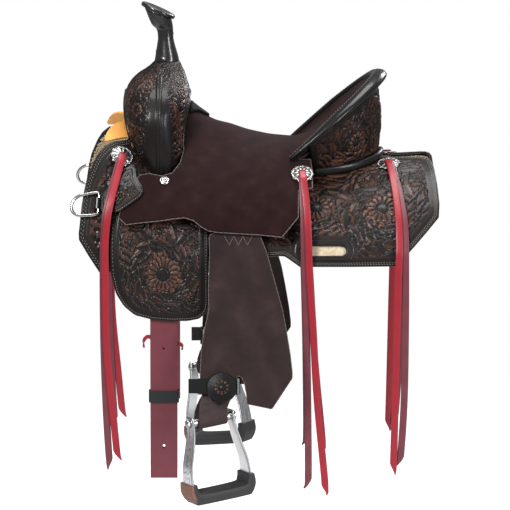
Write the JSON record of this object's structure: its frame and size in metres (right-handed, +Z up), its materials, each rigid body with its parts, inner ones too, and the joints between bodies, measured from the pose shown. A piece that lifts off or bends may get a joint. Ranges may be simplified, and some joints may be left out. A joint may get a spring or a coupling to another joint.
{
  "type": "barrel racing saddle",
  "caption": "Western barrel racing saddle with a tall horn, rough-out seat, rolled cantle, tooled skirts, swinging fenders with stirrups, latigo and saddle strings.",
  "frame": {"origin": "on the horse's back line, under the middle of the seat, where the saddle's own middle plane meets the foot of the withers", "axes": "+Z up, +X towards the rear of the horse, -Y towards the near (left) side of the horse"},
  "size_m": [0.6669, 0.6728, 0.8731],
  "materials": {
    "tree_wood": "sawn wood",
    "tooled_leather": "tooled, dark oiled",
    "black_leather": "polished black",
    "rough_out_leather": "rough-out, dark brown",
    "natural_leather": "natural golden",
    "fleece": "wool pile",
    "latigo_leather": "oil-tanned burgundy",
    "black_rubber": "matt black",
    "steel": "plain",
    "silver": "bright, engraved",
    "aluminium": "engraved"
  },
  "bodies": {
    "tree": {"fork": "tree_wood", "swell_cover": "tooled_leather", "gullet_lining": "natural_leather", "horn_core": "steel", "horn_wrap": "black_leather", "horn_cap": "black_leather", "seat": "rough_out_leather", "ground_seat": "black_leather", "cantle_roll": "black_leather", "cantle_back": "tooled_leather", "cantle_binding": "black_leather", "near_bar": "tree_wood", "near_bar_leather": "rough_out_leather", "near_dee_tab": "black_leather", "near_fleece": "fleece", "near_skirt": "tooled_leather", "near_front_concho": "silver", "near_mid_concho": "silver", "near_rear_concho": "silver", "near_rigging_panel": "tooled_leather", "near_rigging_ring": "steel", "near_rigging_strap": "black_leather", "near_seat_screw": "silver", "off_bar": "tree_wood", "off_bar_leather": "rough_out_leather", "off_dee_tab": "black_leather", "off_fleece": "fleece", "off_skirt": "tooled_leather", "off_front_concho": "silver", "off_mid_concho": "silver", "off_rear_concho": "silver", "off_rigging_panel": "tooled_leather", "off_rigging_ring": "steel", "off_rigging_strap": "black_leather", "off_seat_screw": "silver"},
    "near_fender_and_leather": {"near_fender": "rough_out_leather", "near_stirrup_leather": "rough_out_leather", "near_hobble_strap": "black_leather", "near_leather_buckle": "steel", "near_stirrup_bolt": "steel"},
    "near_stirrup_and_tread": {"near_stirrup": "aluminium", "near_tread": "black_rubber"},
    "near_dee": {"near_dee_ring": "silver"},
    "near_front_thongs": {"near_front_strings": "latigo_leather"},
    "near_mid_thongs": {"near_mid_strings": "latigo_leather"},
    "near_rear_thongs": {"near_rear_strings": "latigo_leather"},
    "off_fender_and_leather": {"off_fender": "rough_out_leather", "off_stirrup_leather": "rough_out_leather", "off_hobble_strap": "black_leather", "off_leather_buckle": "steel", "off_stirrup_bolt": "steel"},
    "off_stirrup_and_tread": {"off_stirrup": "aluminium", "off_tread": "black_rubber"},
    "off_dee": {"off_dee_ring": "silver"},
    "off_front_thongs": {"off_front_strings": "latigo_leather"},
    "off_mid_thongs": {"off_mid_strings": "latigo_leather"},
    "off_rear_thongs": {"off_rear_strings": "latigo_leather"},
    "near_latigo_strap": {"near_latigo": "latigo_leather"},
    "off_billet_strap": {"off_billet": "latigo_leather"},
    "near_keeper": {"near_latigo_keeper": "black_rubber"}
  },
  "joints": [
    {"name": "near_fender_swing", "type": "hinge", "parent": "tree", "child": "near_fender_and_leather", "pos_m": [-0.0663, -0.2011, 0], "axis": [0, 0.9703, -0.2419], "range_deg": [-12, 30]},
    {"name": "near_stirrup_swing", "type": "hinge", "parent": "near_fender_and_leather", "child": "near_stirrup_and_tread", "pos_m": [-0.087, -0.29217, -0.42149], "axis": [-0.8996, -0.4195, -0.1219], "range_deg": [-25, 40]},
    {"name": "near_dee_turn", "type": "hinge", "parent": "tree", "child": "near_dee", "pos_m": [-0.291, -0.20402, -0.04175], "axis": [0.0522, 0.3705, 0.9274], "range_deg": [0, 50]},
    {"name": "near_front_strings_lift", "type": "hinge", "parent": "tree", "child": "near_front_thongs", "pos_m": [-0.24651, -0.15079, 0.04102], "axis": [-0.9119, 0.0017, 0.4104], "range_deg": [0, 25]},
    {"name": "near_mid_strings_lift", "type": "hinge", "parent": "tree", "child": "near_mid_thongs", "pos_m": [0.078, -0.17086, 0.01222], "axis": [-1, 0, 0], "range_deg": [0, 25]},
    {"name": "near_rear_strings_lift", "type": "hinge", "parent": "tree", "child": "near_rear_thongs", "pos_m": [0.23514, -0.06292, 0.01692], "axis": [-0.9595, -0.2399, -0.148], "range_deg": [0, 25]},
    {"name": "off_fender_swing", "type": "hinge", "parent": "tree", "child": "off_fender_and_leather", "pos_m": [-0.0663, 0.2011, 0], "axis": [0, 0.9703, 0.2419], "range_deg": [-12, 30]},
    {"name": "off_stirrup_swing", "type": "hinge", "parent": "off_fender_and_leather", "child": "off_stirrup_and_tread", "pos_m": [-0.087, 0.29217, -0.42149], "axis": [0.8996, -0.4195, 0.1219], "range_deg": [-25, 40]},
    {"name": "off_dee_turn", "type": "hinge", "parent": "tree", "child": "off_dee", "pos_m": [-0.291, 0.20402, -0.04175], "axis": [-0.0522, 0.3705, -0.9274], "range_deg": [0, 50]},
    {"name": "off_front_strings_lift", "type": "hinge", "parent": "tree", "child": "off_front_thongs", "pos_m": [-0.24651, 0.15079, 0.04102], "axis": [0.9119, 0.0017, -0.4104], "range_deg": [0, 25]},
    {"name": "off_mid_strings_lift", "type": "hinge", "parent": "tree", "child": "off_mid_thongs", "pos_m": [0.078, 0.17086, 0.01222], "axis": [1, 0, 0], "range_deg": [0, 25]},
    {"name": "off_rear_strings_lift", "type": "hinge", "parent": "tree", "child": "off_rear_thongs", "pos_m": [0.23514, 0.06292, 0.01692], "axis": [0.9595, -0.2399, 0.148], "range_deg": [0, 25]},
    {"name": "near_latigo_swing", "type": "hinge", "parent": "tree", "child": "near_latigo_strap", "pos_m": [-0.172, -0.211, -0.222], "axis": [1, 0, 0], "range_deg": [-3, 20]},
    {"name": "off_billet_swing", "type": "hinge", "parent": "tree", "child": "off_billet_strap", "pos_m": [-0.172, 0.211, -0.222], "axis": [-1, 0, 0], "range_deg": [-3, 20]},
    {"name": "near_keeper_slide", "type": "slide", "parent": "near_latigo_strap", "child": "near_keeper", "axis": [0, 0, 1], "range_m": [-0.07, 0.07]}
  ]
}
